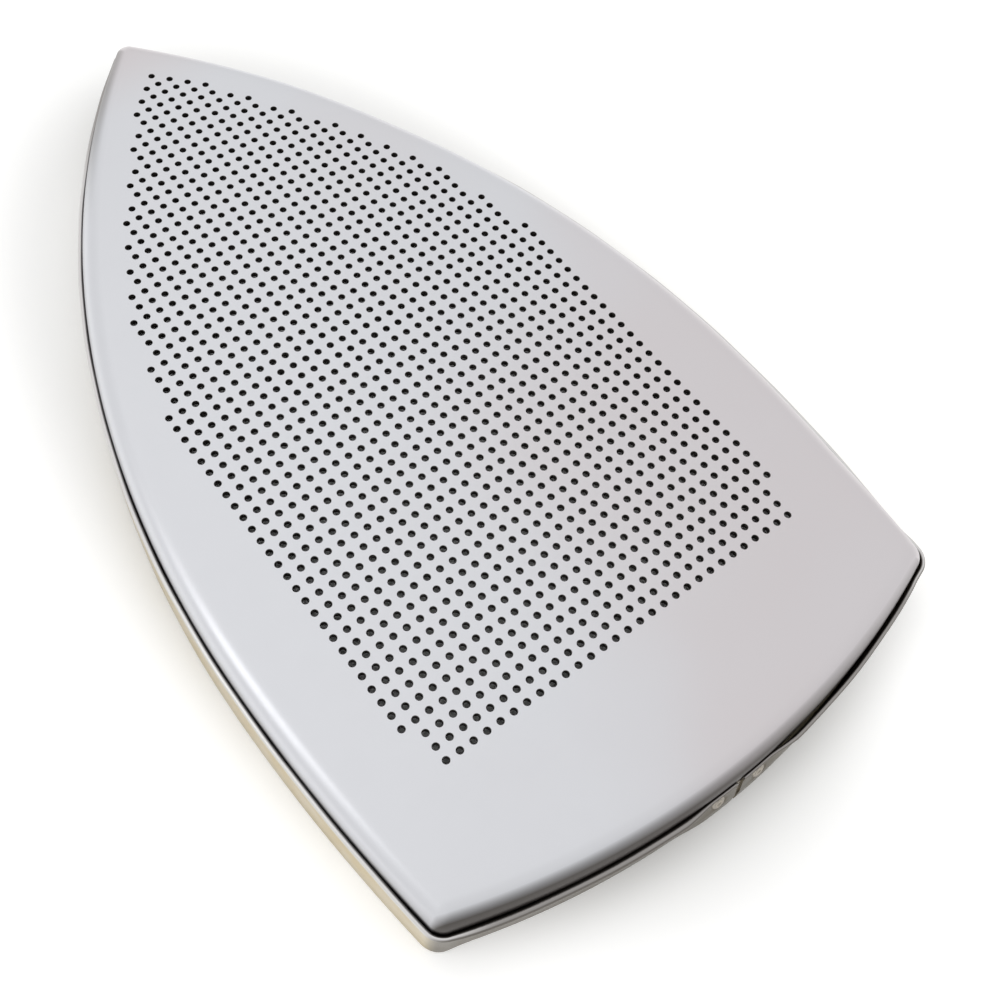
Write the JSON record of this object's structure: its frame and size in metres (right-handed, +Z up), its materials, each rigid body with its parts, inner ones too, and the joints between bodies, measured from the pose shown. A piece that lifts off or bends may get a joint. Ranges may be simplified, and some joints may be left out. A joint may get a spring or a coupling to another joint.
{
  "type": "iron shoe cover",
  "caption": "Pointed, perforated slip-on sole cover for a domestic iron, with a beaded rim band joined at the heel and a coil spring that holds it on.",
  "frame": {"origin": "centre of the bounding box at its bottom, in the plane of the open foot", "axes": "+X across the cover, +Y from the heel to the pointed toe, +Z up out of the perforated sole; the open side faces down"},
  "size_m": [0.1304, 0.2213, 0.016],
  "materials": {
    "sole_sheet": "satin light grey, fine matt texture",
    "band_sheet": "thin rolled strip, soft sheen",
    "strap_sheet": "plain strip",
    "rivet_metal": "pressed, slightly dull",
    "spring_wire": "bright drawn wire"
  },
  "bodies": {
    "root": {"sole_pan": "sole_sheet", "rim_band": "band_sheet", "joint_strap": "strap_sheet", "joint_rivets": "rivet_metal", "retaining_spring": "spring_wire"}
  },
  "joints": []
}
